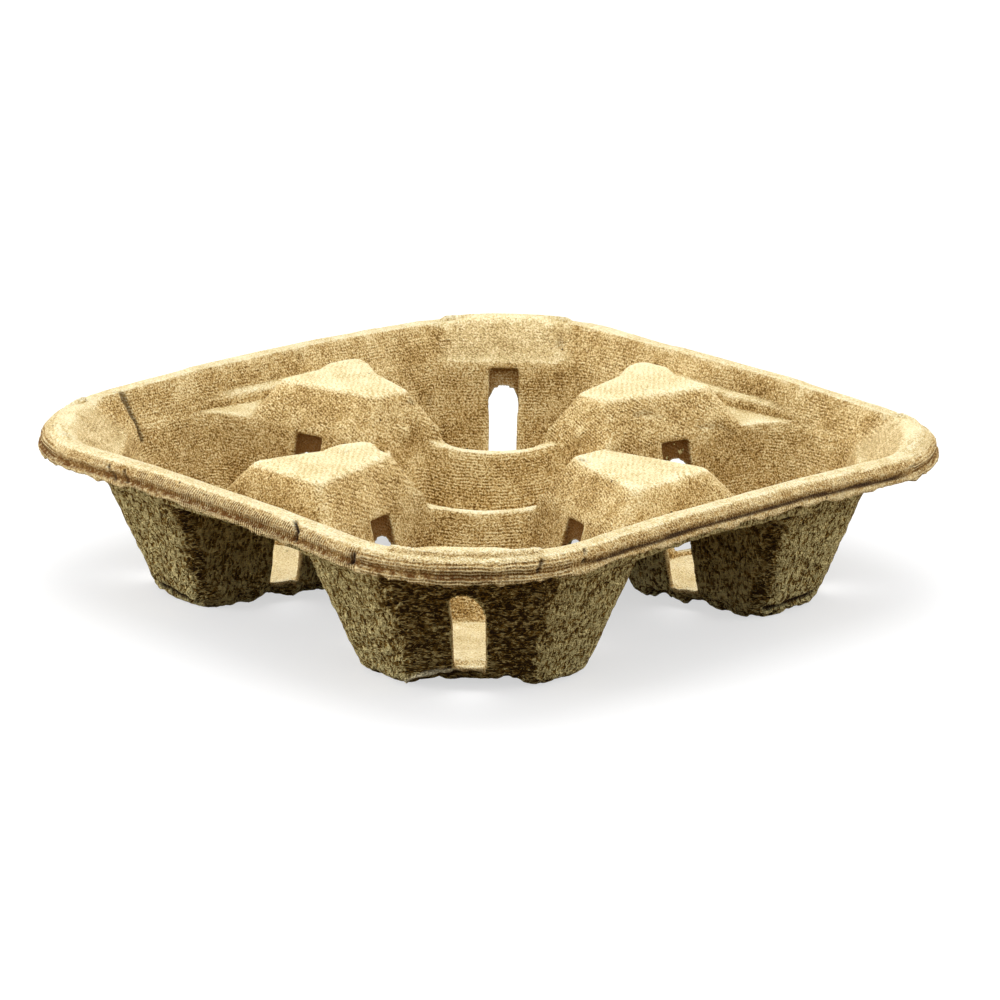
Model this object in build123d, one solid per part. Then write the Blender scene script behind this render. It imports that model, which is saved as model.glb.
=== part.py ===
from build123d import *
import math
import os

# A moulded paper-pulp carrier for four cups, made as one sheet of even wall over a
# square mould. Millimetres, +Z up. The origin is the middle of the footprint on the
# surface that the four feet stand on. "out" is a distance from the middle towards a
# side, "diagonal" is a distance from the middle towards a corner. An "inset" is a
# distance in from the outer edge of the rim, and a "drop" a distance down from the top.
# A "skin" is the depth of a face below the upper face of the sheet: 0 is the upper face
# itself and the wall is its underside, so each form is made once for both faces.

# Whole tray
side_length = 209.0
tray_height = 48.0
wall = 2.0

# Rim: turned outwards and down all round, and lower at the corners
rim_corner_radius = 48.5
rim_width = 7.0
rim_corner_width = 9.5
rim_skirt = 5.3
rim_corner_drop = 2.0
rim_fall_length = 41.7
rim_edge_bevel = 2.0
lip_reach = 0.8
lip_thickness = 1.0

# Raised bead behind the rim at each corner
bead_width = 5.0
bead_length = 40.0
bead_radius = 49.0
bead_edge_bevel = 1.0

# Legs: four tapered pockets whose outer faces are the lower walls of the tray
foot_inset = 26.8
foot_corner_inset = 35.1
side_draft = 22.6
corner_draft = 21.1
leg_corner_radius = 14.0
leg_gap_radius = 10.0
leg_core_radius = 10.0
foot_edge_bevel = 2.4

# The knee, where the walls flare out to the rim and the side valleys have their floor
knee_drop = 11.0
knee_ledge = 0.8
bowl_corner_radius = 22.0

# Cup pockets
pocket_axis_inset = 56.0
floor_rise = 2.5
floor_boss_radius = 19.0
crest_to_floor_draft = 24.0

# Raised blocks at the middle of each side, between neighbouring pockets
block_nose_out = 40.5
block_tail_inset = 29.0
block_half_width_top = 10.1
block_half_width_knee = 18.5
block_face_angle = 15.0
block_nose_draft = 22.5
block_tail_draft = 24.0
block_edge_radius = 4.2
leg_gap_draft = 16.0

# Step in the side wall behind each block
step_drop = 7.5
step_middle_inset = 15.2
step_end_inset = 9.2
step_draft = 15.0
step_edge_bevel = 1.4

# Centre dish, and the four sagging ridges between it and the pockets
ridge_drop = 17.8
ridge_sag_radius = 59.0
ridge_top_width = 3.6
dish_edge_diagonal = 27.8
dish_depth = 17.0
dish_draft = 22.8
dish_corner_radius = 3.0
dish_floor_bevel = 1.5

# Raised pip on the face of each block towards the dish
nub_drop = 11.0
nub_width = 5.2
nub_top_width = 2.6
nub_rise = 1.2

# Openings through the pocket walls: one at the corner, one in each block's face
slot_width = 8.5
slot_drop = 18.5
slot_recess_drop = 13.1
slot_recess_depth = 1.1

# How far shapes run on past each other where they are joined or cut
overrun = 4.0

# Distances from the middle of the tray, and heights above its feet
root_two = math.sqrt(2)
half_side = side_length / 2
rim_straight_reach = half_side - rim_corner_radius
corner_reach = rim_straight_reach * root_two + rim_corner_radius
rim_inner_corner = corner_reach - rim_corner_width
foot_out = half_side - foot_inset
foot_diagonal = corner_reach - foot_corner_inset
pocket_axis = half_side - pocket_axis_inset
block_tail_out = half_side - block_tail_inset
block_middle_out = (block_nose_out + block_tail_out) / 2
knee_height = tray_height - knee_drop
step_height = tray_height - step_drop
ridge_height = tray_height - ridge_drop
nub_height = tray_height - nub_drop
above = tray_height + wall

# Level run of each leaning face for one millimetre of height
side_slope = math.tan(math.radians(side_draft))
corner_slope = math.tan(math.radians(corner_draft))
gap_slope = math.tan(math.radians(leg_gap_draft))
nose_slope = math.tan(math.radians(block_nose_draft))
tail_slope = math.tan(math.radians(block_tail_draft))
dish_slope = math.tan(math.radians(dish_draft))
step_slope = math.tan(math.radians(step_draft))
core_slope = math.tan(math.radians(crest_to_floor_draft))
block_spread = math.tan(math.radians(block_face_angle))
block_side_slope = (block_half_width_knee - block_half_width_top) / knee_drop


def across(thickness, draft):
    """Level width of a wall that leans by its draft."""
    return thickness / math.cos(math.radians(draft))


def bevel_under(bevel, depth):
    """Size that a bevel has left on a face that lies this deep under it."""
    return bevel - (2 - root_two) * depth


def tapered(low_points, low, high_points, high, radii):
    """Body with flat leaning sides from one outline up to another, its upright edges rounded."""
    low_ring = [Vector(x, y, low) for x, y in low_points]
    high_ring = [Vector(x, y, high) for x, y in high_points]
    faces = [make_face(Polyline(*ring, close=True)) for ring in (low_ring, high_ring)]
    for i in range(len(low_ring)):
        side = Polyline(low_ring[i - 1], low_ring[i], high_ring[i], high_ring[i - 1], close=True)
        faces.append(make_face(side))
    body = Solid(Shell(faces))
    for start, end, radius in zip(low_ring, high_ring, radii):
        body = fillet(body.edges().sort_by_distance((start + end) / 2)[:1], radius)
    return body


def eight_sided(out, diagonal):
    """Corner points of a square with cut corners."""
    cut = diagonal * root_two - out
    quarter = [(out, -cut), (out, cut), (cut, out), (-cut, out)]
    return quarter + [(-x, -y) for x, y in quarter]


def wall_out(height, skin):
    """Where the side wall stands at this height."""
    return foot_out + side_slope * height - across(wall - skin, side_draft)


def wall_diagonal(height, skin):
    """Where the corner wall stands at this height."""
    return foot_diagonal + corner_slope * height - across(wall - skin, corner_draft)


def half_width(out, height, skin, slope):
    """Half width of a block, or of the gap between two legs under it."""
    middle = block_half_width_knee + slope * (knee_height - height)
    return middle + block_spread * (out - block_middle_out) - skin * math.hypot(1, slope)


def nose_out(height, skin):
    return block_nose_out - nose_slope * (tray_height - height) + across(skin, block_nose_draft)


def tail_out(height, skin):
    return block_tail_out + tail_slope * (tray_height - height) - across(skin, block_tail_draft)


def core_diagonal(height, skin):
    """Where a pocket's inner wall stands, on the far side of a ridge from the dish."""
    crest = dish_edge_diagonal + ridge_top_width
    return crest + core_slope * (ridge_height - height) - across(skin, crest_to_floor_draft)


def pocket_points(height, skin):
    """Outline of one pocket: two side walls, the corner wall, the faces of two
    neighbouring blocks and the wall under the ridge."""
    out = wall_out(height, skin)
    cut = wall_diagonal(height, skin) * root_two - out
    core = core_diagonal(height, skin)
    at_out = half_width(out, height, skin, gap_slope)
    at_middle = half_width(0, height, skin, gap_slope)
    along = (core * root_two - at_middle) / (1 + block_spread)
    inner = core * root_two - along
    return [(out, at_out), (out, cut), (cut, out), (at_out, out), (inner, along), (along, inner)]


def pocket(skin):
    """Room of the +X +Y cup pocket, with a raised round floor inside the foot."""
    bottom = wall - skin
    top = knee_height - skin
    outside = [leg_gap_radius, leg_corner_radius, leg_corner_radius, leg_gap_radius]
    radii = [radius - wall + skin for radius in outside + [leg_core_radius] * 2]
    body = tapered(pocket_points(bottom, skin), bottom, pocket_points(top, skin), top, radii)
    bevel = bevel_under(foot_edge_bevel, wall - skin)
    body = chamfer(body.edges().group_by(Axis.Z)[0], bevel)
    boss_top = wall + floor_rise - skin
    boss = Pos(pocket_axis, pocket_axis, boss_top) * Cone(
        floor_boss_radius + floor_rise + wall - skin,
        floor_boss_radius - skin,
        floor_rise + wall,
        align=(Align.CENTER, Align.CENTER, Align.MAX),
    )
    return body - boss


def upper_bowl(skin):
    """The flared upper part of the tray, from the knee to above the rim."""
    bottom = knee_height - skin
    low_out = wall_out(bottom, skin) + knee_ledge
    low_diagonal = wall_diagonal(bottom, skin) + knee_ledge
    rise = tray_height - bottom
    flare_out = (half_side - rim_width - low_out) / rise
    flare_diagonal = (rim_inner_corner - low_diagonal) / rise
    top_out = half_side - rim_width + skin * math.hypot(1, flare_out)
    top_diagonal = rim_inner_corner + skin * math.hypot(1, flare_diagonal)
    stretch = (above - bottom) / rise
    low = eight_sided(low_out, low_diagonal)
    high = eight_sided(
        low_out + (top_out - low_out) * stretch,
        low_diagonal + (top_diagonal - low_diagonal) * stretch,
    )
    return tapered(low, bottom, high, above, [bowl_corner_radius - wall + skin] * 8)


def block(skin):
    """Mass of the +X block, wider towards its tail."""
    def points(height):
        nose = nose_out(height, skin)
        tail = tail_out(height, skin)
        at_nose = half_width(nose, height, skin, block_side_slope)
        at_tail = half_width(tail, height, skin, block_side_slope)
        return [(nose, -at_nose), (tail, -at_tail), (tail, at_tail), (nose, at_nose)]

    bottom = ridge_height - overrun
    top = tray_height - skin
    body = tapered(points(bottom), bottom, points(top), top, [])
    return fillet(body.edges() - body.faces().sort_by(Axis.Z)[0].edges(), block_edge_radius - skin)


def side_step(skin):
    """Mass behind a block that makes the step in the side wall."""
    def points(height):
        lean = step_slope * (step_height - height) - across(skin, step_draft)
        middle = half_side - step_middle_inset - lean
        end = half_side - step_end_inset - lean
        return [
            (middle, 0),
            (end, rim_straight_reach),
            (side_length, rim_straight_reach),
            (side_length, -rim_straight_reach),
            (end, -rim_straight_reach),
        ]

    bottom = ridge_height - overrun
    top = step_height - skin
    body = tapered(points(bottom), bottom, points(top), top, [])
    brink = body.edges().group_by(Axis.Z)[-1].sort_by(Axis.X)[:2]
    return chamfer(brink, bevel_under(step_edge_bevel, skin))


def centre_opening(skin):
    """Room above the ridges: two crossed troughs, so that each ridge sags."""
    reach = core_diagonal(ridge_height, 0) + wall
    round_bar = Cylinder(ridge_sag_radius + skin, 2 * reach)
    trough = Pos(0, 0, ridge_height + ridge_sag_radius) * Rot(0, 90, 0) * round_bar
    troughs = trough + Rot(0, 0, 90) * trough
    room = Box(2 * reach, 2 * reach, 2 * (knee_height + wall))
    return Rot(0, 0, 45) * (troughs & room)


def dish(skin):
    """Room of the centre dish."""
    def points(height):
        drop = ridge_height - height
        diagonal = dish_edge_diagonal - dish_slope * drop + across(skin, dish_draft)
        return eight_sided(nose_out(height, skin), diagonal)

    floor = ridge_height - dish_depth - skin
    radii = [dish_corner_radius + skin] * 8
    body = tapered(points(floor), floor, points(knee_height), knee_height, radii)
    return chamfer(body.edges().group_by(Axis.Z)[0], bevel_under(dish_floor_bevel, -skin))


def room_above(skin):
    """All the room above the sheet, with its walls moved out by the skin."""
    upper = upper_bowl(skin) + centre_opening(skin)
    for quarter in range(4):
        upper -= Rot(0, 0, 90 * quarter) * block(skin)
        upper -= Rot(0, 0, 90 * quarter) * side_step(skin)
    for quarter in range(4):
        upper += Rot(0, 0, 90 * quarter) * pocket(skin)
    return upper + dish(skin)


def under_rim_surface(drop):
    """Everything below the rim's top, which falls at the corners, or below a deeper copy of it."""
    room = Box(2 * side_length, 2 * side_length, 4 * tray_height)
    body = Pos(0, 0, -drop - tray_height) * room
    fall = math.degrees(math.atan(rim_corner_drop / rim_fall_length))
    for quarter in range(4):
        turned = Rot(0, 0, 45 + 90 * quarter)
        hinge = turned * Pos(corner_reach - rim_fall_length, 0, tray_height - drop)
        body -= hinge * Rot(0, fall, 0) * Pos(0, 0, 2 * tray_height) * room
    return body


def rounded_square(out, radius, low, high):
    return extrude(Pos(0, 0, low) * RectangleRounded(2 * out, 2 * out, radius), high - low)


def rim():
    """Rim turned out and down, hollow below, with a thin lip along its lower edge."""
    low = tray_height - rim_skirt - rim_corner_drop - overrun
    face = half_side - lip_reach
    body = rounded_square(face, rim_corner_radius - lip_reach, low, above) & under_rim_surface(0)
    body = chamfer(body.faces().sort_by(Axis.Z)[-1].edges(), rim_edge_bevel)
    hollow = rounded_square(face - wall, rim_corner_radius - lip_reach - wall, low, above)
    body -= hollow & under_rim_surface(wall)
    lip = rounded_square(half_side, rim_corner_radius, low, above)
    lip -= rounded_square(face - wall, rim_corner_radius - lip_reach - wall, low, above)
    body += lip & under_rim_surface(rim_skirt - lip_thickness)
    return body - under_rim_surface(rim_skirt)


def corner_bead():
    """Raised bead on the inner side of the rim at the +X +Y corner."""
    centre = (rim_inner_corner + bead_width - bead_radius) / root_two
    band = Pos(centre, centre, 0) * extrude(Circle(bead_radius), tray_height)
    low = tray_height - rim_corner_drop - wall / 2
    room = Pos(rim_inner_corner, 0, low) * Box(
        2 * (bead_width + overrun),
        bead_length,
        tray_height,
        align=(Align.CENTER, Align.CENTER, Align.MIN),
    )
    body = band & (Rot(0, 0, 45) * room)
    return chamfer(body.faces().sort_by(Axis.Z)[-1].edges(), bead_edge_bevel)


def slot_window(drop, round_top, reach):
    """Upright window in the wall of a pocket, on the +X side of its axis."""
    low = wall + floor_rise
    straight_top = tray_height - drop
    if round_top:
        straight_top -= slot_width / 2
    outline = Pos(0, (low + straight_top) / 2) * Rectangle(slot_width, straight_top - low)
    if round_top:
        outline += Pos(0, straight_top) * Circle(slot_width / 2)
    upright = Plane(origin=(0, 0, 0), x_dir=(0, 1, 0), z_dir=(1, 0, 0))
    return extrude(upright * outline, reach)


def pocket_slots():
    """The openings of one pocket, each square to its wall, with a recess inside
    that runs on over its round top."""
    reach = rim_inner_corner - pocket_axis * root_two
    recess_layer = pocket(slot_recess_depth)
    block_turn = 135 - block_face_angle
    cuts = Part()
    for turn in (0, block_turn, -block_turn):
        place = Pos(pocket_axis, pocket_axis, 0) * Rot(0, 0, 45 + turn)
        cuts += place * slot_window(slot_drop, True, reach)
        cuts += (place * slot_window(slot_recess_drop, False, reach)) & recess_layer
    return cuts


def nub():
    """Small pip on the face of the +X block towards the dish."""
    foot = Cylinder(nub_width / 2, wall / 2, align=(Align.CENTER, Align.CENTER, Align.MAX))
    head = Cone(nub_width / 2, nub_top_width / 2, nub_rise, align=(Align.CENTER, Align.CENTER, Align.MIN))
    lean = math.radians(block_nose_draft)
    middle = (nose_out(nub_height, 0), 0, nub_height)
    face = Plane(origin=middle, z_dir=(-math.cos(lean), 0, math.sin(lean)))
    return face * (foot + head)


def cup_carrier():
    """The whole tray: the sheet round the room above it, with its rim and openings."""
    body = (room_above(wall) & under_rim_surface(0)) + rim()
    for quarter in range(4):
        body += Rot(0, 0, 90 * quarter) * corner_bead()
    body -= room_above(0)
    slots = pocket_slots()
    for quarter in range(4):
        body -= Rot(0, 0, 90 * quarter) * slots
        body += Rot(0, 0, 90 * quarter) * nub()
    return body


os.makedirs("parts", exist_ok=True)
tray = cup_carrier()
print("cup_carrier", tray.is_valid, [round(solid.volume) for solid in tray.solids()])
export_step(tray, "parts/cup_carrier.step")
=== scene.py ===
import math
import bpy
import numpy as np
from mathutils import Matrix, Vector
from mathutils.bvhtree import BVHTree


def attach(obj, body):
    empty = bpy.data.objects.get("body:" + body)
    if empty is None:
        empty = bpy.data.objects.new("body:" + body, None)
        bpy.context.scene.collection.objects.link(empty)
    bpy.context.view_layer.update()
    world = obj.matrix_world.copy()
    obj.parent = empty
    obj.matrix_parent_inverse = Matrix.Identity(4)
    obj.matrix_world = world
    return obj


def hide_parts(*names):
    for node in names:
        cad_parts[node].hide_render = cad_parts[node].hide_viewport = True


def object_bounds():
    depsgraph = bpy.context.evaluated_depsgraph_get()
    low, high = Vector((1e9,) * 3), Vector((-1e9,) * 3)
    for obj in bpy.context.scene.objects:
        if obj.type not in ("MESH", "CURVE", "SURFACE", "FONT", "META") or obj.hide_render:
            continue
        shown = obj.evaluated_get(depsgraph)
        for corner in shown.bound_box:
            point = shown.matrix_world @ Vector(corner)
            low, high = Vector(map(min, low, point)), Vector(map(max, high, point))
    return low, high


# Moulded-pulp carrier for four cups. Everything is in metres, in the frame of the CAD tray:
# +Z up, the feet on z = 0, a block on each of the axes and a cup pocket at each corner.
# Values without "* mm" in the tables below are plain millimetres, shares or counts.

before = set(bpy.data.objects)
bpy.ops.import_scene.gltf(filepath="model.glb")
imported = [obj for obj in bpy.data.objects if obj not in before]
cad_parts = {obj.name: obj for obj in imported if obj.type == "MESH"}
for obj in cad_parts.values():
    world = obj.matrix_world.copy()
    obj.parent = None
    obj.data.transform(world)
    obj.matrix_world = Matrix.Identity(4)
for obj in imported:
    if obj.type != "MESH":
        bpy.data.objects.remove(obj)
cadBox = [list(corner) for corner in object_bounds()]
mm = 0.001
rootTwo = math.sqrt(2)
print("frame loaded", [[round(v / mm, 1) for v in corner] for corner in cadBox])


# helpers

def deselectAll():
    if bpy.context.object and bpy.context.object.mode != "OBJECT":
        bpy.ops.object.mode_set(mode="OBJECT")
    bpy.ops.object.select_all(action="DESELECT")


def makeActive(piece):
    deselectAll()
    piece.select_set(True)
    bpy.context.view_layer.objects.active = piece


def applyModifier(piece, kind, **settings):
    makeActive(piece)
    modifier = piece.modifiers.new(kind.lower(), kind)
    for name, value in settings.items():
        setattr(modifier, name, value)
    bpy.ops.object.modifier_apply(modifier=modifier.name)


def pointsOf(piece):
    points = np.empty(len(piece.data.vertices) * 3, np.float32)
    piece.data.vertices.foreach_get("co", points)
    return points.reshape(-1, 3).astype(float)


def normalsOf(piece):
    normals = np.empty(len(piece.data.vertices) * 3, np.float32)
    piece.data.vertices.foreach_get("normal", normals)
    return normals.reshape(-1, 3).astype(float)


def setPoints(piece, points):
    piece.data.vertices.foreach_set("co", points.astype(np.float32).ravel())
    piece.data.update()


def edgeEnds(piece):
    ends = np.empty(len(piece.data.edges) * 2, np.int32)
    piece.data.edges.foreach_get("vertices", ends)
    return ends.reshape(-1, 2).T


def addAttribute(piece, name, values):
    layer = piece.data.attributes.new(name, "FLOAT", "POINT")
    layer.data.foreach_set("value", np.asarray(values, np.float32))


def addGroup(piece, name, weights, steps=20):
    group = piece.vertex_groups.new(name=name)
    rounded = np.round(np.clip(weights, 0, 1) * steps) / steps
    for weight in np.unique(rounded[rounded > 0]):
        group.add(np.flatnonzero(rounded == weight).tolist(), float(weight), "REPLACE")


# 0 up to the first value, 1 from the second on, with a smooth rise between them
def softStep(low, high, values):
    share = np.clip((values - low) / (high - low), 0, 1)
    return share * share * (3 - 2 * share)


# 1 near a mark and 0 away from it: fade is where it ends and where it is whole, in sizes
def nearShare(away, size, fade):
    return softStep(size * fade[0], size * fade[1], away)


def toLinear(hexColour):      # the sRGB curve
    channels = [int(hexColour[i:i + 2], 16) / 255 for i in (1, 3, 5)]
    return [c / 12.92 if c <= 0.04045 else ((c + 0.055) / 1.055) ** 2.4 for c in channels] + [1.0]


# The tray: the CAD node's own form, with the soft edges, torn feet and uneven wall of pulp.
# On the rim, "under" is mm below its top and "inset" is mm in from its outer edge. A pair is
# where a band begins and where it is whole.

trayShape = {
    "mergeDistance": 0.001 * mm,
    "voxel": 0.62 * mm,       # under a third of the 2 mm wall, so that the sheet stays closed
    "smoothing": 2,           # rounds of smoothing, which take the steps of the voxels away
    "mostTriangles": 195000,
    "height": 48.0,           # as the CAD node's
    "rimStraight": 56.0,      # from the middle to where each rim corner begins
    "rimCornerRadius": 48.5,
    "rimFallStart": 86.0,     # from the middle, along a diagonal, where the rim begins to fall
    "rimFall": 0.048,         # mm down for each mm out
    "pocketMiddle": 48.5,     # from the middle to the axis of each cup pocket, in x and y
    "rayGap": 0.9,            # how far off the surface the search for what covers it starts
    "feltSlope": 0.12,        # upward share of the normal, over which nothing is felt side
    "wavySize": 26 * mm,      # slow unevenness of the drying sheet
    "wavyDepth": 0.5 * mm,
    "lumpySize": 3.2 * mm,    # small lumps, deeper on the felt side
    "lumpyDepth": 0.16 * mm,
    "lumpyFeltDepth": 0.75 * mm,
    "edgeRounds": 8,          # rounds of smoothing that show what stands out
    "edgeRange": 0.45,        # mm proud at which an edge gets its painted highlight in full
    "raggedLumps": ((5 * mm, 1, 0.6), (1.6 * mm, 2, 0.4)),      # size, seed and share
    "wanderSize": 2.2 * mm,   # creases wander to and fro, over this length
    "wander": 0.9,            # and this far from one side to the other, in widths of the crease
    "slightWander": 0.3,      # share of it, in mm, for the lip's gap and the lit edge
}

# The bead behind each rim corner fades out to both sides of the diagonal
trayShape["bead"] = {"inset": 6, "corner": 50, "fade": (8, 19)}

# The thin lip under the rim droops and is torn, with a groove above it
trayShape["lip"] = {"under": (4.2, 5.2), "end": 8, "inset": (4.0, 2.6),
                    "droop": 0.2, "tears": 1.1, "noise": (0.3, 0.8)}
trayShape["groove"] = {"under": (2.4, 3.2), "end": (4.5, 3.9), "inset": (1.6, 1.2), "depth": 0.45}

# A gap parts bead and lip along the near right side, darkened with painted shade
trayShape["lipGap"] = {"under": (3.2, 3.5), "end": (4.4, 4.1), "inset": 2.8, "x": 88,
                       "y": (-64, -54), "yEnd": (66, 56), "dark": 0.9}

# The rim has sunk a little on its +Y side: depth, and where it begins and ends
trayShape["sunkRim"] = {"depth": 1.3, "y": (90, 100), "x": (-62, -30), "xEnd": (98, 72),
                        "z": (28, 44)}

# The feet are torn at their lower edge, up to this height
trayShape["tornFoot"] = {"z": (3.5, 0.5), "height": 1.3, "noise": (0.45, 0.75)}

# Each pull moves what lies near its middle: middle, reach in plan, reach in height, move. It
# ends and is whole at these shares of its reach.
trayShape["pullFade"] = (1, 0.5)
trayShape["pullHeightFade"] = (1, 0.35)
trayShape["pulls"] = [
    ((65.0, -64.0, 0.0), 19.0, 10.0, (0.0, 0.0, 2.2)),      # arch under the near foot
    ((73.0, -73.0, 29.0), 6.0, 9.0, (-1.1, -1.1, 0.0)),     # its window leans over
    ((-27.5, -66.0, 0.0), 5.0, 7.0, (0.0, 0.0, 2.2)),       # torn edges of the left foot
    ((-24.5, -56.0, 0.0), 7.0, 7.0, (0.0, 0.0, 2.6)),
    ((-22.5, -46.0, 0.0), 6.0, 7.0, (0.0, 0.0, 1.6)),
    ((48.0, 23.0, 0.0), 7.0, 7.0, (0.0, 0.0, 1.6)),         # and of the right foot
    ((58.0, 26.0, 0.0), 7.0, 7.0, (0.0, 0.0, 2.2)),
    ((66.0, 29.0, 0.0), 4.0, 6.0, (0.0, 0.0, 1.4)),
    ((-11.0, 74.0, 46.0), 12.0, 12.0, (-3.6, 3.6, 0.6)),    # fuller shoulders of three blocks
    ((-74.0, 11.0, 46.0), 12.0, 12.0, (-2.6, 2.6, 0.6)),
    ((-10.0, -43.0, 46.0), 12.0, 12.0, (-2.2, 2.2, 0.6)),
]

# Each crease: points along it, width, depth and darkness, a painted shade in it. Its dent and its
# darkness end and are whole at these shares of its width from the line.
trayShape["creasePress"] = (1.5, 0.3)
trayShape["creaseDark"] = (1.4, 0.6)
trayShape["creases"] = [
    # cracks of the rim
    ([(36.2, -101.3, 47.5), (39.8, -103.3, 45.7), (39.2, -103.7, 43.6)], 0.55, 0.9, 1.0),
    ([(61.9, -103.3, 45.2), (61.6, -103.3, 42.6)], 0.5, 0.9, 1.0),
    ([(101.8, -58.4, 46.5), (103.5, -60.3, 43.2)], 0.5, 0.9, 1.0),
    ([(99.8, -71.6, 45.5), (100.3, -73.5, 42.8)], 0.5, 0.7, 0.8),
    ([(-41.9, -103.0, 45.9), (-37.5, -103.7, 42.9)], 0.5, 0.7, 0.8),
    ([(-34.7, -103.1, 46.1), (-32.2, -103.7, 43.2)], 0.5, 0.6, 0.7),
    # cracks down the left corner
    ([(-96.6, -55.8, 46.3), (-92.3, -54.6, 38.9), (-89.2, -54.5, 33.5)], 0.8, 0.7, 0.75),
    ([(-97.8, -57.6, 46.3), (-93.6, -57.0, 38.9)], 0.6, 0.5, 0.5),
    # folds of the wall and the blocks
    ([(11.0, 47.5, 43.1), (12.4, 52.0, 43.2), (14.6, 55.4, 42.0)], 0.7, 0.5, 0.2),
    ([(19.7, 65.4, 38.0), (21.2, 71.0, 37.6), (23.7, 75.8, 35.4)], 0.7, 0.5, 0.2),
    ([(9.4, 71.3, 47.6), (15.2, 74.5, 45.9)], 0.7, 0.4, 0.15),
    ([(-2.8, -50.7, 47.8), (-3.8, -47.3, 47.6)], 0.6, 0.4, 0.4),
    # torn slits at the left, right and near foot
    ([(-53.0, -79.0, 4.8), (-46.0, -79.0, 3.7), (-39.7, -78.7, 2.8), (-35.6, -77.0, 1.9)],
     1.2, 1.5, 1.0),
    ([(78.4, 33.0, 3.2), (79.3, 40.0, 3.9), (79.4, 48.0, 4.4), (79.4, 55.5, 5.6)], 0.9, 1.5, 1.0),
    ([(54.5, -76.2, 1.6), (59.0, -73.6, 3.2), (64.0, -69.4, 3.9), (68.3, -65.0, 3.9)],
     1.3, 1.2, 0.85),
]

# Thin torn edge over the dark slit at the near foot: raised, and painted pale, partly as the cut edge
# of the pale screen side and partly as a painted highlight
trayShape["litEdge"] = {
    "fade": (1.2, 0.6),
    "height": 0.9,
    "line": [(53.0, -77.0, 2.4), (56.5, -75.6, 4.1), (61.0, -72.8, 5.3), (66.0, -68.6, 5.6),
             (69.0, -65.4, 5.5)],
}

# Small dark flecks of bark or ink: place and size, with where one ends and is whole, in sizes
trayShape["fleckFade"] = (1.6, 0.6)
trayShape["flecks"] = [
    ((-69.0, 88.5, 42.1), 0.6), ((-65.6, 90.8, 41.7), 0.6), ((-96.3, 10.5, 45.7), 0.7),
    ((45.5, -6.3, 47.7), 0.5), ((45.2, 95.9, 44.9), 0.7), ((-39.6, 5.9, 45.0), 0.6),
    ((-86.1, 54.4, 26.6), 0.6),
]

# The windows of each pocket: the way each faces (degrees) with how much painted shade its recess
# gets, and the recess, by half its width, its top and its bottom
trayShape["window"] = {"faces": ((45, 0.6), (165, 0.9), (-75, 0.9)), "width": (4.7, 4.1),
                       "top": (35.3, 34.7), "bottom": (21.0, 24.0), "out": 12, "press": 0.5}

# What stays dense when the mesh is thinned: the near leg most, then the near rim, the torn
# feet and the recesses with painted shade
trayShape["dense"] = {"legFrom": 112, "legTop": 34, "legShare": 0.3, "rimInset": 5, "rimUnder": 8,
                      "rimSide": 80, "rimFrom": 40, "footTop": 5, "footOut": 21, "stain": 0.05,
                      "share": 0.5}


def copyOfNode(nodeName, pieceName):
    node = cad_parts[nodeName]
    piece = bpy.data.objects.new(pieceName, node.data.copy())
    bpy.context.scene.collection.objects.link(piece)
    makeActive(piece)
    bpy.ops.object.mode_set(mode="EDIT")
    bpy.ops.mesh.select_all(action="SELECT")
    bpy.ops.mesh.remove_doubles(threshold=trayShape["mergeDistance"])
    bpy.ops.object.mode_set(mode="OBJECT")
    piece.data.materials.clear()
    return piece


# 1 where the sheet itself lies above a point: the underside, which is the felt side
def coveredShare(piece, points, normals):
    faces = [tuple(face.vertices) for face in piece.data.polygons]
    tree = BVHTree.FromPolygons([tuple(point) for point in points], faces)
    up = Vector((0, 0, 1))
    starts = points + normals * trayShape["rayGap"] * mm
    hits = np.array([0.0 if tree.ray_cast(Vector(start), up)[0] is None else 1.0 for start in starts])
    return hits * (normals[:, 2] < trayShape["feltSlope"])


# smooth random numbers between 0 and 1, in lumps of one size: each cell of a grid has its own
# number, mixed from its place by large primes
def lumps(points, size, seed):
    seedShift, placePrimes, mixPrime, levels = 17.31, (73856093, 19349663, 83492791), 1274126177, 10007
    grid = points / size + seed * seedShift
    low = np.floor(grid).astype(np.int64)
    part = grid - low
    part = part * part * (3 - 2 * part)
    total = np.zeros(len(points))
    for corner in ((a, b, c) for a in (0, 1) for b in (0, 1) for c in (0, 1)):
        byX, byY, byZ = ((low + corner) * placePrimes).T
        mixed = byX ^ byY ^ byZ
        mixed = ((mixed ^ (mixed >> 13)) * mixPrime) & 0x7FFFFFFF
        weight = np.prod(np.where(np.array(corner) == 1, part, 1 - part), axis=1)
        total += weight * (mixed % levels) / levels
    return total


# In mm: in from the rim's outer edge, below the rim's top, and along the rim
def placesOnRim(points):
    straight, radius = trayShape["rimStraight"], trayShape["rimCornerRadius"]
    x, y, z = (points / mm).T
    overX = np.maximum(np.abs(x) - straight, 0)
    overY = np.maximum(np.abs(y) - straight, 0)
    inset = radius - np.hypot(overX, overY)
    diagonal = (np.abs(x) + np.abs(y)) / rootTwo
    fallen = trayShape["rimFall"] * np.maximum(diagonal - trayShape["rimFallStart"], 0)
    arc = radius * math.pi / 2
    along = np.where(overY == 0, np.abs(y), straight + radius * np.arctan2(overY, overX))
    along = np.where(overX == 0, 2 * straight + arc - np.abs(x), along)
    return inset, trayShape["height"] - fallen - z, along


def distanceToLine(points, line):
    nearest = np.full(len(points), np.inf)
    for start, end in zip(line[:-1], line[1:]):
        start, way = np.array(start), np.array(end) - np.array(start)
        share = np.clip((points - start) @ way / (way @ way), 0, 1)
        nearest = np.minimum(nearest, np.linalg.norm(points - start - share[:, None] * way, axis=1))
    return nearest


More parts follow.
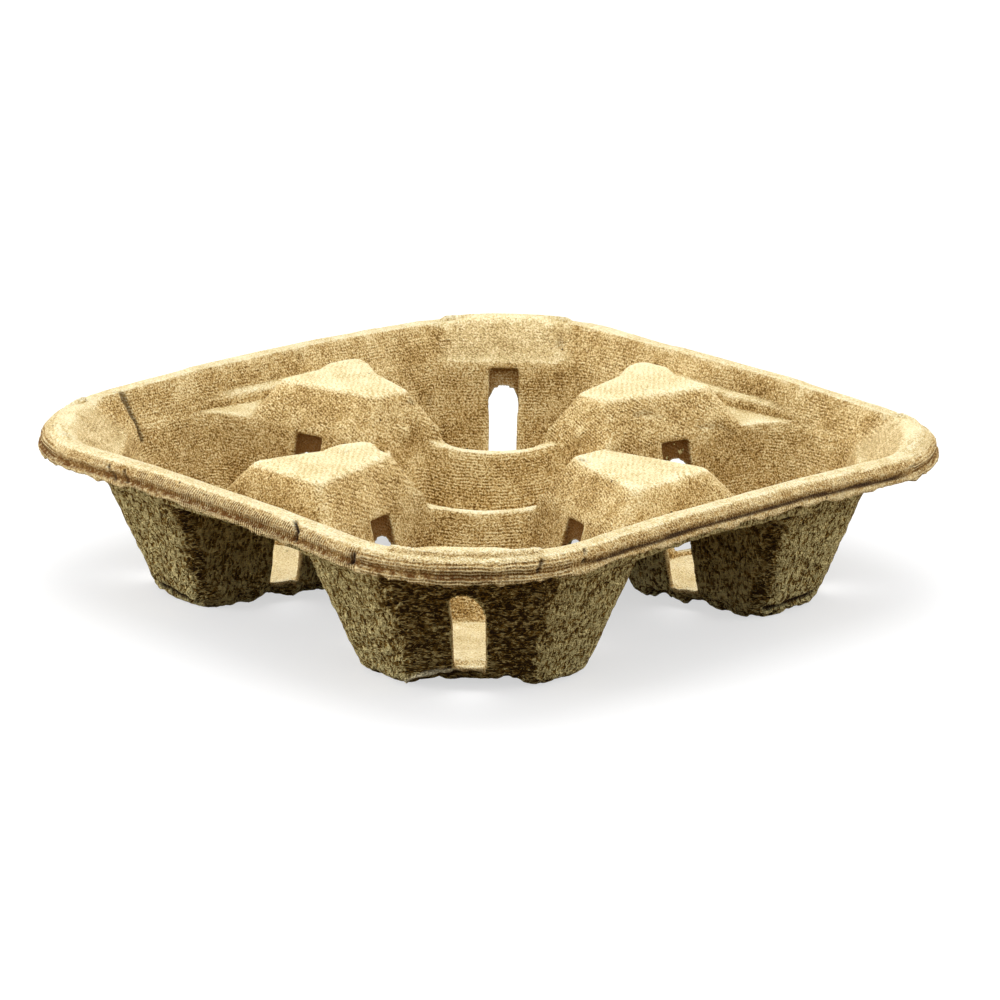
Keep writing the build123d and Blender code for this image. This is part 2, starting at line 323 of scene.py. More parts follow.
# Taper the ends of the corner beads, droop the rim's thin lip, sink the rim and tear the feet
def shapeByHand(points, normals):
    bead, lip, groove = trayShape["bead"], trayShape["lip"], trayShape["groove"]
    sunk, foot = trayShape["sunkRim"], trayShape["tornFoot"]
    inset, underTop, _ = placesOnRim(points)
    x, y, z = (points / mm).T
    sideways = np.abs(np.abs(x) - np.abs(y)) / rootTwo
    atCorner = np.minimum(np.abs(x), np.abs(y)) > bead["corner"]
    proud = np.minimum(underTop, 0) * (inset > bead["inset"]) * atCorner
    z = z + proud * softStep(*bead["fade"], sideways)
    ragged = sum(lumps(points, size, seed) * share for size, seed, share in trayShape["raggedLumps"])
    onLip = softStep(*lip["under"], underTop) * softStep(*lip["inset"], inset) * (underTop < lip["end"])
    z = z - onLip * (lip["droop"] + lip["tears"] * softStep(*lip["noise"], ragged))
    z = z - (sunk["depth"] * softStep(*sunk["y"], y) * softStep(*sunk["x"], x)
             * softStep(*sunk["xEnd"], x) * softStep(*sunk["z"], z))
    inGroove = (softStep(*groove["under"], underTop) * softStep(*groove["end"], underTop)
                * softStep(*groove["inset"], inset))
    z = z + softStep(*foot["z"], z) * foot["height"] * softStep(*foot["noise"], ragged)
    moved = np.stack([x, y, z], axis=1) - normals * (inGroove * groove["depth"])[:, None]
    for middle, reach, height, move in trayShape["pulls"]:
        away = moved - np.array(middle)
        share = nearShare(np.hypot(away[:, 0], away[:, 1]), reach, trayShape["pullFade"])
        share = share * nearShare(np.abs(away[:, 2]), height, trayShape["pullHeightFade"])
        moved = moved + share[:, None] * np.array(move)
    return moved * mm


# Press the creases in and raise the lit edge: the new points, the dark marks (painted shade in the
# creases, slits and the lip's gap, and the real flecks) and the painted highlight on the lit edge
def pressCreases(points, normals):
    gap, edge = trayShape["lipGap"], trayShape["litEdge"]
    inMm = points / mm
    dark = np.zeros(len(points))
    moved = inMm.copy()
    wander = (lumps(points, trayShape["wanderSize"], 5) - 0.5) * trayShape["wander"]
    slightWander = wander * trayShape["slightWander"]
    for line, width, depth, darkness in trayShape["creases"]:
        away = distanceToLine(inMm, line) + wander * width
        moved = moved - normals * (depth * nearShare(away, width, trayShape["creasePress"]))[:, None]
        dark = np.maximum(dark, darkness * nearShare(away, width, trayShape["creaseDark"]))
    for middle, size in trayShape["flecks"]:
        away = np.linalg.norm(inMm - np.array(middle), axis=1)
        dark = np.maximum(dark, nearShare(away, size, trayShape["fleckFade"]))
    inset, underTop, _ = placesOnRim(points)
    x, y, _ = inMm.T
    parted = (softStep(*gap["under"], underTop + slightWander) * softStep(*gap["end"], underTop)
              * (inset < gap["inset"]))
    parted = parted * (x > gap["x"]) * softStep(*gap["y"], y) * softStep(*gap["yEnd"], y)
    dark = np.maximum(dark, gap["dark"] * parted)
    lit = softStep(*edge["fade"], distanceToLine(inMm, edge["line"]) + slightWander)
    moved = moved + normals * (edge["height"] * lit)[:, None]
    return moved * mm, dark * (1 - lit), lit


# Painted shade, in brown, in the deep recesses over the windows, most where they face a block, and
# the share by which each point lies in a recess
def windowShade(points):
    window = trayShape["window"]
    x, y, z = (points / mm).T
    stain, press = np.zeros(len(points)), np.zeros(len(points))
    fromMiddle = np.stack([np.abs(x), np.abs(y)], axis=1) - trayShape["pocketMiddle"]
    for turn, strength in window["faces"]:
        way = np.array([math.cos(math.radians(turn)), math.sin(math.radians(turn))])
        out = fromMiddle @ way
        across = np.abs(fromMiddle @ np.array([-way[1], way[0]]))
        share = (softStep(*window["width"], across) * softStep(*window["top"], z)
                 * softStep(*window["bottom"], z) * (out > window["out"]))
        stain = np.maximum(stain, strength * share)
        press = np.maximum(press, share)
    return stain, press


# How far each point stands out from those round it: over 0 on an edge, under 0 in a corner
def standingOut(piece, points, normals, rounds):
    first, second = edgeEnds(piece)
    count = np.bincount(first, minlength=len(points)) + np.bincount(second, minlength=len(points))
    smoothed = points.copy()
    for _ in range(rounds):
        total = np.stack([np.bincount(first, smoothed[second, k], len(points))
                          + np.bincount(second, smoothed[first, k], len(points)) for k in range(3)], axis=1)
        smoothed = total / count[:, None]
    return np.einsum("ij,ij->i", points - smoothed, normals) / mm


# How much each point may be thinned
def thinShares(points, covered, windowDark):
    dense = trayShape["dense"]
    x, y, z = (points / mm).T
    inset, underTop, _ = placesOnRim(points)
    fromPocket = np.hypot(np.abs(x) - trayShape["pocketMiddle"], np.abs(y) - trayShape["pocketMiddle"])
    nearLeg = (x - y > dense["legFrom"]) & (z < dense["legTop"]) & (covered > 0.5)
    nearRim = (inset < dense["rimInset"]) & (underTop < dense["rimUnder"]) & (x - y > dense["rimFrom"])
    nearRim = nearRim & ((y < -dense["rimSide"]) | (x > dense["rimSide"]))
    torn = (z < dense["footTop"]) & (covered > 0.5) & (fromPocket > dense["footOut"])
    kept = nearRim | torn | (windowDark > dense["stain"])
    return np.where(nearLeg, dense["legShare"], np.where(kept, dense["share"], 1.0))


tray = copyOfNode("cup_carrier", "pulpTray")
applyModifier(tray, "REMESH", mode="VOXEL", voxel_size=trayShape["voxel"])
applyModifier(tray, "SMOOTH", factor=0.5, iterations=trayShape["smoothing"])
print("tray remeshed", len(tray.data.vertices), "points")

points, normals = pointsOf(tray), normalsOf(tray)
covered = coveredShare(tray, points, normals)
addGroup(tray, "felt", covered)
addAttribute(tray, "feltSide", covered)
print("felt side found on", round(float(covered.mean()), 3), "of the points")

setPoints(tray, shapeByHand(points, normals))
for size, depth, group in (("wavySize", "wavyDepth", ""), ("lumpySize", "lumpyDepth", ""),
                           ("lumpySize", "lumpyFeltDepth", "felt")):
    waves = bpy.data.textures.new(depth, "CLOUDS")
    waves.noise_scale = trayShape[size]
    applyModifier(tray, "DISPLACE", texture=waves, texture_coords="LOCAL", direction="NORMAL",
                  strength=trayShape[depth], mid_level=0.5, vertex_group=group)
    bpy.data.textures.remove(waves)

points, normals = pointsOf(tray), normalsOf(tray)
# painted highlight on edges and painted shade in hollows, by how far each point stands out
edgeOut = standingOut(tray, points, normals, trayShape["edgeRounds"])
addAttribute(tray, "edgeOut", np.clip(edgeOut / trayShape["edgeRange"], -1, 1))
# painted shade, in brown, in the recesses over the windows
windowDark, recess = windowShade(points)
points = points - normals * (recess * (covered < 0.5) * trayShape["window"]["press"] * mm)[:, None]
# dark marks: painted shade in creases, slits and the lip's gap, with real flecks; lit mark: painted
# highlight
points, darkMark, litMark = pressCreases(points, normals)
addAttribute(tray, "darkMark", darkMark)
addAttribute(tray, "litMark", litMark)
addAttribute(tray, "windowDark", windowDark * (covered < 0.5))
setPoints(tray, points)
print("tray shaped from the listed marks")

addGroup(tray, "thin", thinShares(points, covered, windowDark))
triangles = sum(len(face.vertices) - 2 for face in tray.data.polygons)
applyModifier(tray, "DECIMATE", ratio=trayShape["mostTriangles"] / triangles, vertex_group="thin",
              vertex_group_factor=1.0)
print("tray thinned from", triangles, "triangles to", len(tray.data.polygons), "faces")

points = pointsOf(tray)
points[:, 2] = np.clip(points[:, 2], cadBox[0][2], cadBox[1][2])
points[:, :2] = np.clip(points[:, :2], cadBox[0][0], cadBox[1][0])
setPoints(tray, points)


# The print of the forming screen. Its wire cloth lay level round the walls, sagging across the
# dish's ridges, aslant over the blocks and along the rim.

screenPrint = {
    "steep": 0.8,             # upward share of the normal, under which a face is a wall
    "dishRadius": 48,
    "dishSag": 118,           # the wires hang by the way across, squared, over this
    "blockHalfWidth": 24,
    "blockFrom": 30,
    "blockInset": 27,
    "blockAbove": 30,
    "blockFirst": (0.92, 0.39),     # how the first wires count upwards and sideways
    "blockSecond": (0.77, 0.64),    # and the second ones, which lean the other way
    "rimInset": 7,
    "rimUnder": 8,
    "rimCornerFrom": 8,       # mm beyond the start of the rim's corner
    "ribbedY": -80,           # the near left rim and the corners carry strong ribs
    "ribbedX": -30,
    "ribbedUnder": 0.7,
    "dishStrength": 0.6,
    "wallStrength": 0.5,
    "rimStrength": 0.4,
    "ribStrength": 2.0,
    "stretch": 1.8,           # a run that grows faster than this along an edge has a break in it
    "jump": 0.3,
}


# How far each point lies along the two sets of wires, in mm, and how strongly they printed
def screenWires(points, normals):
    cloth = screenPrint
    x, y, z = (points / mm).T
    inset, underTop, along = placesOnRim(points)
    steep = np.abs(normals[:, 2]) < cloth["steep"]
    acrossDiagonal = (np.abs(x) - np.abs(y)) / rootTwo
    nearMiddle = np.hypot(x, y) < cloth["dishRadius"]
    lesser, greater = np.minimum(np.abs(x), np.abs(y)), np.maximum(np.abs(x), np.abs(y))
    ofBlock = ((lesser < cloth["blockHalfWidth"]) & (greater > cloth["blockFrom"])
               & (inset > cloth["blockInset"]) & (z > cloth["blockAbove"]))
    onRim = (inset < cloth["rimInset"]) & (underTop < cloth["rimUnder"])
    onCorner = onRim & (lesser > trayShape["rimStraight"] + cloth["rimCornerFrom"])
    first = np.where(nearMiddle, z - acrossDiagonal ** 2 / cloth["dishSag"], z)
    second = np.where(nearMiddle, first, np.where(np.abs(x) > np.abs(y), y, x))
    up, aside = cloth["blockFirst"]
    first = np.where(ofBlock, up * z + aside * (x + y), first)
    up, aside = cloth["blockSecond"]
    second = np.where(ofBlock, up * z - aside * (x + y), second)
    first = np.where(steep | nearMiddle | ofBlock, first, x)
    second = np.where(steep | nearMiddle | ofBlock, second, y)
    first = np.where(onRim, np.where(onCorner, z, along), first)
    second = np.where(onRim, np.where(onCorner, along, z), second)
    strength = np.where(nearMiddle, cloth["dishStrength"], cloth["wallStrength"])
    ribbed = (y < cloth["ribbedY"]) & (x > cloth["ribbedX"]) | onCorner
    ribbed = ribbed & (underTop > cloth["ribbedUnder"])
    strength = np.where(onRim, np.where(ribbed, cloth["ribStrength"], cloth["rimStrength"]), strength)
    return first, second, strength


# The print left out where two fields of wires meet
def withoutBreaks(piece, points, runs, strength):
    starts, ends = edgeEnds(piece)
    length = np.linalg.norm(points[starts] - points[ends], axis=1) / mm
    for run in runs:
        broken = np.abs(run[starts] - run[ends]) > screenPrint["stretch"] * length + screenPrint["jump"]
        strength[starts[broken]] = 0
        strength[ends[broken]] = 0
    return strength


# Painted shade, in brown, along the rim: in the groove, under the lip and over its outer face, most
# on the near left side, and a faint darkening over the top of the rim's outer band
rimShade = {
    "groove": {"under": (2.6, 3.6), "end": (5.0, 4.4), "inset": 2.2, "nearY": -80, "elsewhere": 0.45},
    "lip": {"under": 4.4, "end": 9, "inset": (3.4, 3.0), "insetEnd": (1.6, 2.2), "share": 0.8},
    "face": {"under": (0.2, 1.2), "end": (5.2, 4.2), "inset": 4.5, "left": (-84, -92),
             "right": (84, 92), "rightShare": 0.7, "share": 0.5},
    "top": {"inset": (9.0, 7.0), "under": 6, "share": 0.16},
}


def paintedShadeOnRim(points):
    groove, lip, face, top = (rimShade[name] for name in ("groove", "lip", "face", "top"))
    x, y, _ = (points / mm).T
    inset, underTop, _ = placesOnRim(points)
    inGroove = (softStep(*groove["under"], underTop) * softStep(*groove["end"], underTop)
                * (inset < groove["inset"]))
    inGroove = inGroove * np.where(points[:, 1] < groove["nearY"] * mm, 1.0, groove["elsewhere"])
    underLip = ((underTop > lip["under"]) * (underTop < lip["end"]) * softStep(*lip["inset"], inset)
                * softStep(*lip["insetEnd"], inset))
    onFace = (softStep(*face["under"], underTop) * softStep(*face["end"], underTop)
              * (inset < face["inset"]))
    nearSide = np.maximum(softStep(*face["left"], y), face["rightShare"] * softStep(*face["right"], x))
    onFace = onFace * nearSide * face["share"]
    onTop = top["share"] * softStep(*top["inset"], inset) * (underTop < top["under"])
    return np.maximum(np.maximum(inGroove, underLip * lip["share"]), np.maximum(onFace, onTop))


points, normals = pointsOf(tray), normalsOf(tray)
firstRun, secondRun, strength = screenWires(points, normals)
strength = withoutBreaks(tray, points, (firstRun, secondRun), strength)
# the rim's painted shade goes in with the wires
for name, values in (("firstWires", firstRun), ("secondWires", secondRun), ("wireShare", strength),
                     ("stain", paintedShadeOnRim(points))):
    addAttribute(tray, name, values)

makeActive(tray)
bpy.ops.object.shade_smooth()
print("tray shaped")


# The material: moulded recycled paper pulp, vacuum-formed on a wire screen and dried. To the
# eye it is matte and fibrous. Its level faces are painted paler, as if lit from above, its edges carry a
# painted highlight and its hollows painted shade. Its upper side carries the print of the screen, its
# underside is a darker, rougher felt of fibres.

pulpLook = {
    # colours: dark, middle and light
    "screenColours": ("#6A4A1A", "#C3A163", "#F4E0AC"),
    "topColours": ("#C4A76A", "#EEDBA6", "#FFF4D0"),      # of level faces, painted paler as if lit from above
    "feltColours": ("#321E06", "#8A6A2A", "#E2D296"),
    # dark flecks, and painted shade in creases, slits and the lip's gap
    "fleckAndShadeColour": "#2A1706",
    # pale cut edge of the screen side, with a painted highlight
    "litColour": "#FFF4D0",
    # painted shade, in brown, along the rim and in the window recesses
    "paintedShadeColour": "#6A4314",
    # surface: dry paper, which hardly shines, and its felt side less
    "roughness": 0.95,
    "ior": 1.45,
    "screenShine": 0.3,
    "feltShine": 0.1,
    # sizes in mm
    "wirePitch": 0.85,        # between the wires of the forming screen
    "wireBendSize": 6.0,
    "wireBend": 1.1,          # how far the wires wander
    "patchSize": 8.0,         # where the print is clear or faint
    "grainSize": 0.5,         # single fibres, drawn coarser than their 0.02 mm so that they show
    "fibreSize": 1.8,         # curls and bundles of fibre
    "slitSize": 0.85,         # across the slits and waves of the felt
    "threadSize": 1.7,
    "mottleSize": 9.0,
    "blotchSize": 1.5,        # in the painted shade along the rim
    "fleckSpacing": 9.0,
    "reliefDepth": 0.14,
    "feltDepth": 0.4,
    # shares of each pattern in the relief
    "firstWires": 0.8,
    "secondWires": 0.2,
    "grain": 1.25,
    "curls": 0.55,
    "slits": (-1.35, 0.5),
    "threads": 1.2,
    # tone, from 0, dark, to 1, light: its middle, and what relief, edges and mottling add; the edges add
    # a painted highlight on edges and painted shade in hollows
    "screenMiddle": 0.5,
    "screenRelief": 0.36,
    "screenEdges": 0.34,
    "feltMiddle": 0.72,
    "feltCornerShade": -0.42,      # painted shade on the corner walls of the felt side
    "feltRelief": 0.5,
    "feltEdges": 0.5,
    "mottle": 0.17,
}


# links: input name or index -> a node, (node, output name or index) or a plain value
def addNode(tree, kind, links=None, **settings):
    node = tree.nodes.new(kind)
    for name, value in settings.items():
        setattr(node, name, value)
    for name, value in (links or {}).items():
        if isinstance(value, bpy.types.Node):
            tree.links.new(value.outputs[0], node.inputs[name])
        elif isinstance(value, tuple) and isinstance(value[0], bpy.types.Node):
            tree.links.new(value[0].outputs[value[1]], node.inputs[name])
        else:
            node.inputs[name].default_value = value
    return node


def pulpMaterial():
    look = pulpLook
    material = bpy.data.materials.new("mouldedRecycledPulp")
    material.use_nodes = True
    tree = material.node_tree
    tree.nodes.clear()
    noiseKind, mathKind, rangeKind, mixKind = ("ShaderNodeTexNoise", "ShaderNodeMath",
                                               "ShaderNodeMapRange", "ShaderNodeMix")
    place = addNode(tree, "ShaderNodeTexCoord")
    inMm = addNode(tree, "ShaderNodeMapping", {"Vector": (place, "Object"), "Scale": (1 / mm,) * 3})
    normal = addNode(tree, "ShaderNodeSeparateXYZ", {"Vector": (place, "Normal")})
    marks = {}
    for name in ("feltSide", "firstWires", "secondWires", "wireShare", "edgeOut", "stain",
                 "windowDark", "darkMark", "litMark"):
        marks[name] = (addNode(tree, "ShaderNodeAttribute", attribute_name=name), "Fac")
    felt = addNode(tree, rangeKind, {"Value": marks["feltSide"], "From Min": 0.3, "From Max": 0.7})

    # screen side: wires of the forming screen, clear in some patches and faint in others
    bend = addNode(tree, noiseKind, {"Vector": inMm, "Scale": 1 / look["wireBendSize"], "Detail": 1.0})
    waves = []
    for name in ("firstWires", "secondWires"):
        bent = addNode(tree, mathKind, {0: bend, 1: look["wireBend"], 2: marks[name]},
                       operation="MULTIPLY_ADD")
        turned = addNode(tree, mathKind, {0: bent, 1: 2 * math.pi / look["wirePitch"]},
                         operation="MULTIPLY")
        waves.append(addNode(tree, mathKind, {0: turned}, operation="SINE"))
    lesser = addNode(tree, mathKind, {0: waves[1], 1: look["secondWires"]}, operation="MULTIPLY")
    wires = addNode(tree, mathKind, {0: waves[0], 1: look["firstWires"], 2: lesser},
                    operation="MULTIPLY_ADD")
    patchNoise = addNode(tree, noiseKind, {"Vector": inMm, "Scale": 1 / look["patchSize"],
                                           "Detail": 1.0})
    patches = addNode(tree, rangeKind, {"Value": patchNoise, "From Min": 0.38, "From Max": 0.62,
                                        "To Min": 0.4})
    wireStrength = addNode(tree, mathKind, {0: patches, 1: marks["wireShare"]}, operation="MULTIPLY")
    wirePrint = addNode(tree, mathKind, {0: wires, 1: wireStrength}, operation="MULTIPLY")

    # and over them the grain and the curled fibres
    grainNoise = addNode(tree, noiseKind, {"Vector": inMm, "Scale": 1 / look["grainSize"],
                                           "Detail": 1.0, "Roughness": 0.6})
    grain = addNode(tree, rangeKind, {"Value": grainNoise, "From Min": 0.3, "From Max": 0.7,
                                      "To Min": -look["grain"], "To Max": look["grain"]})
    curlNoise = addNode(tree, noiseKind, {"Vector": inMm, "Scale": 1 / look["fibreSize"],
                                          "Detail": 2.0, "Roughness": 0.7, "Distortion": 1.5})
    curls = addNode(tree, rangeKind, {"Value": curlNoise, "From Min": 0.3, "From Max": 0.7,
                                      "To Min": -look["curls"], "To Max": look["curls"]})
    fibres = addNode(tree, mathKind, {0: grain, 1: curls}, operation="ADD")
    screenRelief = addNode(tree, mathKind, {0: wirePrint, 1: fibres}, operation="ADD")

    # felt side: long dark slits down the side walls, wavy threads across the corner walls
    upright = addNode(tree, "ShaderNodeMapping", {"Vector": inMm, "Scale": (1.0, 1.0, 0.33)})
    level = addNode(tree, "ShaderNodeMapping", {"Vector": inMm, "Scale": (0.42, 0.42, 1.0)})
    sizeX = addNode(tree, mathKind, {0: (normal, "X")}, operation="ABSOLUTE")
    sizeY = addNode(tree, mathKind, {0: (normal, "Y")}, operation="ABSOLUTE")
    apart = addNode(tree, mathKind, {0: sizeX, 1: sizeY}, operation="SUBTRACT")
    offDiagonal = addNode(tree, mathKind, {0: apart}, operation="ABSOLUTE")
    ofCorner = addNode(tree, rangeKind, {"Value": offDiagonal, "From Min": 0.45, "From Max": 0.2})
    slitNoise = addNode(tree, noiseKind, {"Vector": upright, "Scale": 1 / look["slitSize"],
                                          "Detail": 1.0, "Distortion": 0.8})
    waveNoise = addNode(tree, noiseKind, {"Vector": level, "Scale": 1 / look["slitSize"],
                                          "Detail": 1.0, "Distortion": 1.2})
    eitherNoise = addNode(tree, mixKind, {0: ofCorner, 2: slitNoise, 3: waveNoise})
    slits = addNode(tree, rangeKind, {"Value": eitherNoise, "From Min": 0.36, "From Max": 0.62,
                                      "To Min": look["slits"][0], "To Max": look["slits"][1]})
    threadNoise = addNode(tree, noiseKind, {"Vector": level, "Scale": 1 / look["threadSize"],
                                            "Detail": 0.0, "Distortion": 3.0})
    fromMiddle = addNode(tree, mathKind, {0: threadNoise, 1: 0.5}, operation="SUBTRACT")
    offMiddle = addNode(tree, mathKind, {0: fromMiddle}, operation="ABSOLUTE")
    threads = addNode(tree, rangeKind, {"Value": offMiddle, "From Min": 0.15, "From Max": 0.0})
    feltRelief = addNode(tree, mathKind, {0: threads, 1: look["threads"], 2: slits},
                         operation="MULTIPLY_ADD")

    # tone: relief, mottling and edges, dark at 0 and light at 1. Edges get a painted highlight and
    # hollows painted shade, and the felt's corner walls get painted shade
    broadNoise = addNode(tree, noiseKind, {"Vector": inMm, "Scale": 1 / look["mottleSize"],
                                           "Detail": 2.0})
    broad = addNode(tree, rangeKind, {"Value": broadNoise, "From Min": 0.3, "From Max": 0.7,
                                      "To Min": -look["mottle"], "To Max": look["mottle"]})
    screenEdges = addNode(tree, mathKind, {0: marks["edgeOut"], 1: look["screenEdges"], 2: broad},
                          operation="MULTIPLY_ADD")
    screenLevel = addNode(tree, mathKind, {0: screenEdges, 1: look["screenMiddle"]}, operation="ADD")
    screenTone = addNode(tree, mathKind, {0: screenRelief, 1: look["screenRelief"], 2: screenLevel},
                         operation="MULTIPLY_ADD")
    feltEdges = addNode(tree, mathKind, {0: marks["edgeOut"], 1: look["feltEdges"], 2: broad},
                        operation="MULTIPLY_ADD")
    feltLevel = addNode(tree, mathKind, {0: ofCorner, 1: look["feltCornerShade"], 2: look["feltMiddle"]},
                        operation="MULTIPLY_ADD")
    feltMiddle = addNode(tree, mathKind, {0: feltEdges, 1: feltLevel}, operation="ADD")
    feltTone = addNode(tree, mathKind, {0: feltRelief, 1: look["feltRelief"], 2: feltMiddle},
                       operation="MULTIPLY_ADD")
    ramps = {}
    for name, tone in (("screenColours", screenTone), ("topColours", screenTone),
                       ("feltColours", feltTone)):
        ramps[name] = addNode(tree, "ShaderNodeValToRGB", {"Fac": tone})
        ramps[name].color_ramp.elements.new(0.5)
        for element, colour in zip(ramps[name].color_ramp.elements, look[name]):
            element.color = toLinear(colour)

    # level faces painted paler as if lit from above, painted shade in blotches along the rim, and small
    # dark flecks on the screen side
    paintedTopLight = addNode(tree, rangeKind, {"Value": (normal, "Z"), "From Min": 0.64, "From Max": 0.94},
                   interpolation_type="SMOOTHSTEP")
    blotchNoise = addNode(tree, noiseKind, {"Vector": inMm, "Scale": 1 / look["blotchSize"],
                                            "Detail": 2.0})
    blotches = addNode(tree, rangeKind, {"Value": blotchNoise, "From Min": 0.35, "From Max": 0.6,
                                         "To Min": 0.3})
    blotchedRimShade = addNode(tree, mathKind, {0: marks["stain"], 1: blotches}, operation="MULTIPLY")
    fleckField = addNode(tree, "ShaderNodeTexVoronoi", {"Vector": inMm,
                                                        "Scale": 1 / look["fleckSpacing"]})
    fleckShare = addNode(tree, rangeKind, {"Value": (fleckField, "Distance"), "From Min": 0.05,
                                           "From Max": 0.035, "To Max": 0.8})
    screenColour = addNode(tree, mixKind, {0: paintedTopLight, 6: ramps["screenColours"], 7: ramps["topColours"]},
                           data_type="RGBA")
    screenColour = addNode(tree, mixKind, {0: fleckShare, 6: (screenColour, 2),
                                           7: toLinear(look["fleckAndShadeColour"])}, data_type="RGBA")
    shaders = []
    for colour, relief, depth, shine in (
            ((screenColour, 2), screenRelief, look["reliefDepth"], look["screenShine"]),
            (ramps["feltColours"], feltRelief, look["feltDepth"], look["feltShine"])):
        # over the colour: painted shade along the rim and in the window recesses, painted shade in creases,
        # slits and the lip's gap with the real flecks, and a painted highlight on the torn edge
        for share, over in ((blotchedRimShade, "paintedShadeColour"), (marks["windowDark"], "paintedShadeColour"),
                            (marks["darkMark"], "fleckAndShadeColour"), (marks["litMark"], "litColour")):
            mix = addNode(tree, mixKind, {0: share, 6: colour, 7: toLinear(look[over])},
                          data_type="RGBA")
            colour = (mix, 2)
        bump = addNode(tree, "ShaderNodeBump", {"Height": relief, "Distance": depth * mm,
                                                "Strength": 1.0})
        shaders.append(addNode(tree, "ShaderNodeBsdfPrincipled", {
            "Base Color": colour, "Roughness": look["roughness"], "IOR": look["ior"],
            "Specular IOR Level": shine, "Normal": bump}))
    both = addNode(tree, "ShaderNodeMixShader", {0: felt, 1: shaders[0], 2: shaders[1]})
    addNode(tree, "ShaderNodeOutputMaterial", {"Surface": both})
    return material


tray.data.materials.append(pulpMaterial())
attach(tray, "root")
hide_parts("cup_carrier")
print("pulp material made")


# Floor, light and camera

studio = {
    "floorSize": 6.0,            # m
    "floorColour": "#FFFFFF",
    "floorBounce": "#6E5A38",    # what the floor sends back up to the tray
    "floorGlow": 0.6,            # how far the shadow is lifted towards white, for the eye alone
    "worldAbove": 1.55,          # soft light from straight above
    "worldLevel": 0.2,           # and from the sides
    "worldRise": (0.15, 0.9),    # upward share of the direction, between the two
}


# 1 for what the camera, a reflection or glass shows, and 0 for what only lights the tray
def shownToEye(tree):
    rays = addNode(tree, "ShaderNodeLightPath")
    seen = addNode(tree, "ShaderNodeMath", {0: (rays, "Is Camera Ray"), 1: (rays, "Is Glossy Ray")},
                   operation="MAXIMUM")
    return addNode(tree, "ShaderNodeMath", {0: seen, 1: (rays, "Is Transmission Ray")},
                   operation="MAXIMUM")


def addFloor():
    deselectAll()
    bpy.ops.mesh.primitive_plane_add(size=studio["floorSize"])
    floor = bpy.context.object
    floor.name = "floor"
    material = bpy.data.materials.new("paleFloor")
    material.use_nodes = True
    tree = material.node_tree
    tree.nodes.clear()
    white = toLinear(studio["floorColour"])
    seen = shownToEye(tree)
    bounced = addNode(tree, "ShaderNodeBsdfDiffuse", {"Color": toLinear(studio["floorBounce"])})
    shown = addNode(tree, "ShaderNodeBsdfDiffuse", {"Color": white})
    glow = addNode(tree, "ShaderNodeEmission", {"Color": white, "Strength": 1.0})
    lifted = addNode(tree, "ShaderNodeMixShader", {0: studio["floorGlow"], 1: shown, 2: glow})
    floorShader = addNode(tree, "ShaderNodeMixShader", {0: seen, 1: bounced, 2: lifted})
    addNode(tree, "ShaderNodeOutputMaterial", {"Surface": floorShader})
    floor.data.materials.append(material)


def addWorld():
    world = bpy.data.worlds.new("studioWorld")
    bpy.context.scene.world = world
    world.use_nodes = True
    tree = world.node_tree
    tree.nodes.clear()
    seen = shownToEye(tree)
    place = addNode(tree, "ShaderNodeTexCoord")
    height = addNode(tree, "ShaderNodeSeparateXYZ", {"Vector": (place, "Generated")})
    strength = addNode(tree, "ShaderNodeMapRange", {
        "Value": (height, "Z"), "From Min": studio["worldRise"][0], "From Max": studio["worldRise"][1],
        "To Min": studio["worldLevel"], "To Max": studio["worldAbove"]})
    light = addNode(tree, "ShaderNodeBackground", {"Color": (1, 1, 1, 1), "Strength": strength})
    white = addNode(tree, "ShaderNodeBackground", {"Color": (1, 1, 1, 1), "Strength": 1.0})
    both = addNode(tree, "ShaderNodeMixShader", {0: seen, 1: light, 2: white})
    addNode(tree, "ShaderNodeOutputWorld", {"Surface": both})


addFloor()
addWorld()

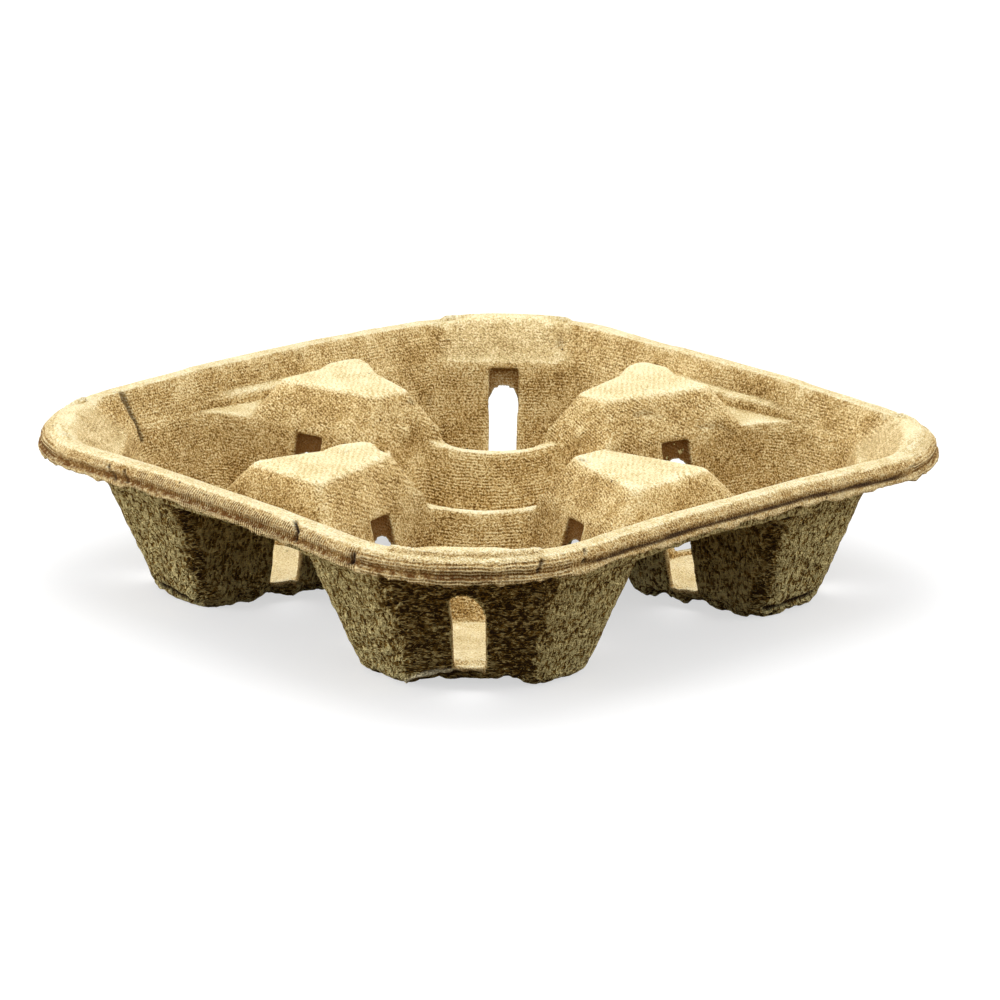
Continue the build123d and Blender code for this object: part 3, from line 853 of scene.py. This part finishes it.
cameraView = {
    "lens": 161.7,               # mm
    "frameWidth": 36,            # mm: the square frame behind the lens
    "azimuth": 47.56,            # degrees, as the next two
    "elevation": 16.9,
    "roll": 0.24,
    "distance": 1279.8 * mm,
    "aimHeight": 22 * mm,        # over the middle of the feet, then right and up in the picture
    "aimRight": 3.59 * mm,
    "aimUp": 2.46 * mm,
}


def viewAxes(azimuth, elevation, roll=0.0):
    turn, tilt, lean = (math.radians(v) for v in (azimuth, elevation, roll))
    back = Vector((math.sin(turn) * math.cos(tilt), -math.cos(turn) * math.cos(tilt), math.sin(tilt)))
    right = Vector((math.cos(turn), math.sin(turn), 0))
    up = back.cross(right)
    return (right * math.cos(lean) + up * math.sin(lean), up * math.cos(lean) - right * math.sin(lean), back)


def addCamera():
    right, up, back = viewAxes(cameraView["azimuth"], cameraView["elevation"])
    aim = Vector((0, 0, cameraView["aimHeight"])) + right * cameraView["aimRight"] + up * cameraView["aimUp"]
    eye = aim + back * cameraView["distance"]
    right, up, back = viewAxes(cameraView["azimuth"], cameraView["elevation"], cameraView["roll"])
    data = bpy.data.cameras.new("camera")
    data.lens = cameraView["lens"]
    data.sensor_width = cameraView["frameWidth"]
    camera = bpy.data.objects.new("camera", data)
    bpy.context.scene.collection.objects.link(camera)
    camera.matrix_world = Matrix((right, up, back)).transposed().to_4x4()
    camera.location = eye
    bpy.context.scene.camera = camera


addCamera()

lamps = {
    # name: direction it stands in (aside, towards the camera, up), distance and size in m,
    # power in W
    "overhead": ((0.0, 0.0, 1.0), 1.2, 0.9, 5.5),
    "leftSide": ((-1.0, 0.1, 0.14), 1.2, 0.5, 11.5),
    "rightSide": ((1.0, 0.1, 0.14), 1.2, 0.5, 7.5),
}


def addLamps():
    right, _, back = viewAxes(cameraView["azimuth"], 0)
    for name, (way, distance, size, power) in lamps.items():
        data = bpy.data.lights.new(name, "AREA")
        data.size = size
        data.energy = power
        lamp = bpy.data.objects.new(name, data)
        bpy.context.scene.collection.objects.link(lamp)
        direction = (right * way[0] + back * way[1] + Vector((0, 0, way[2]))).normalized()
        lamp.location = direction * distance
        lamp.rotation_mode = "QUATERNION"
        lamp.rotation_quaternion = direction.to_track_quat("Z", "Y")


addLamps()
bpy.context.scene.view_settings.view_transform = "Standard"
print("stage, lamps and camera set")
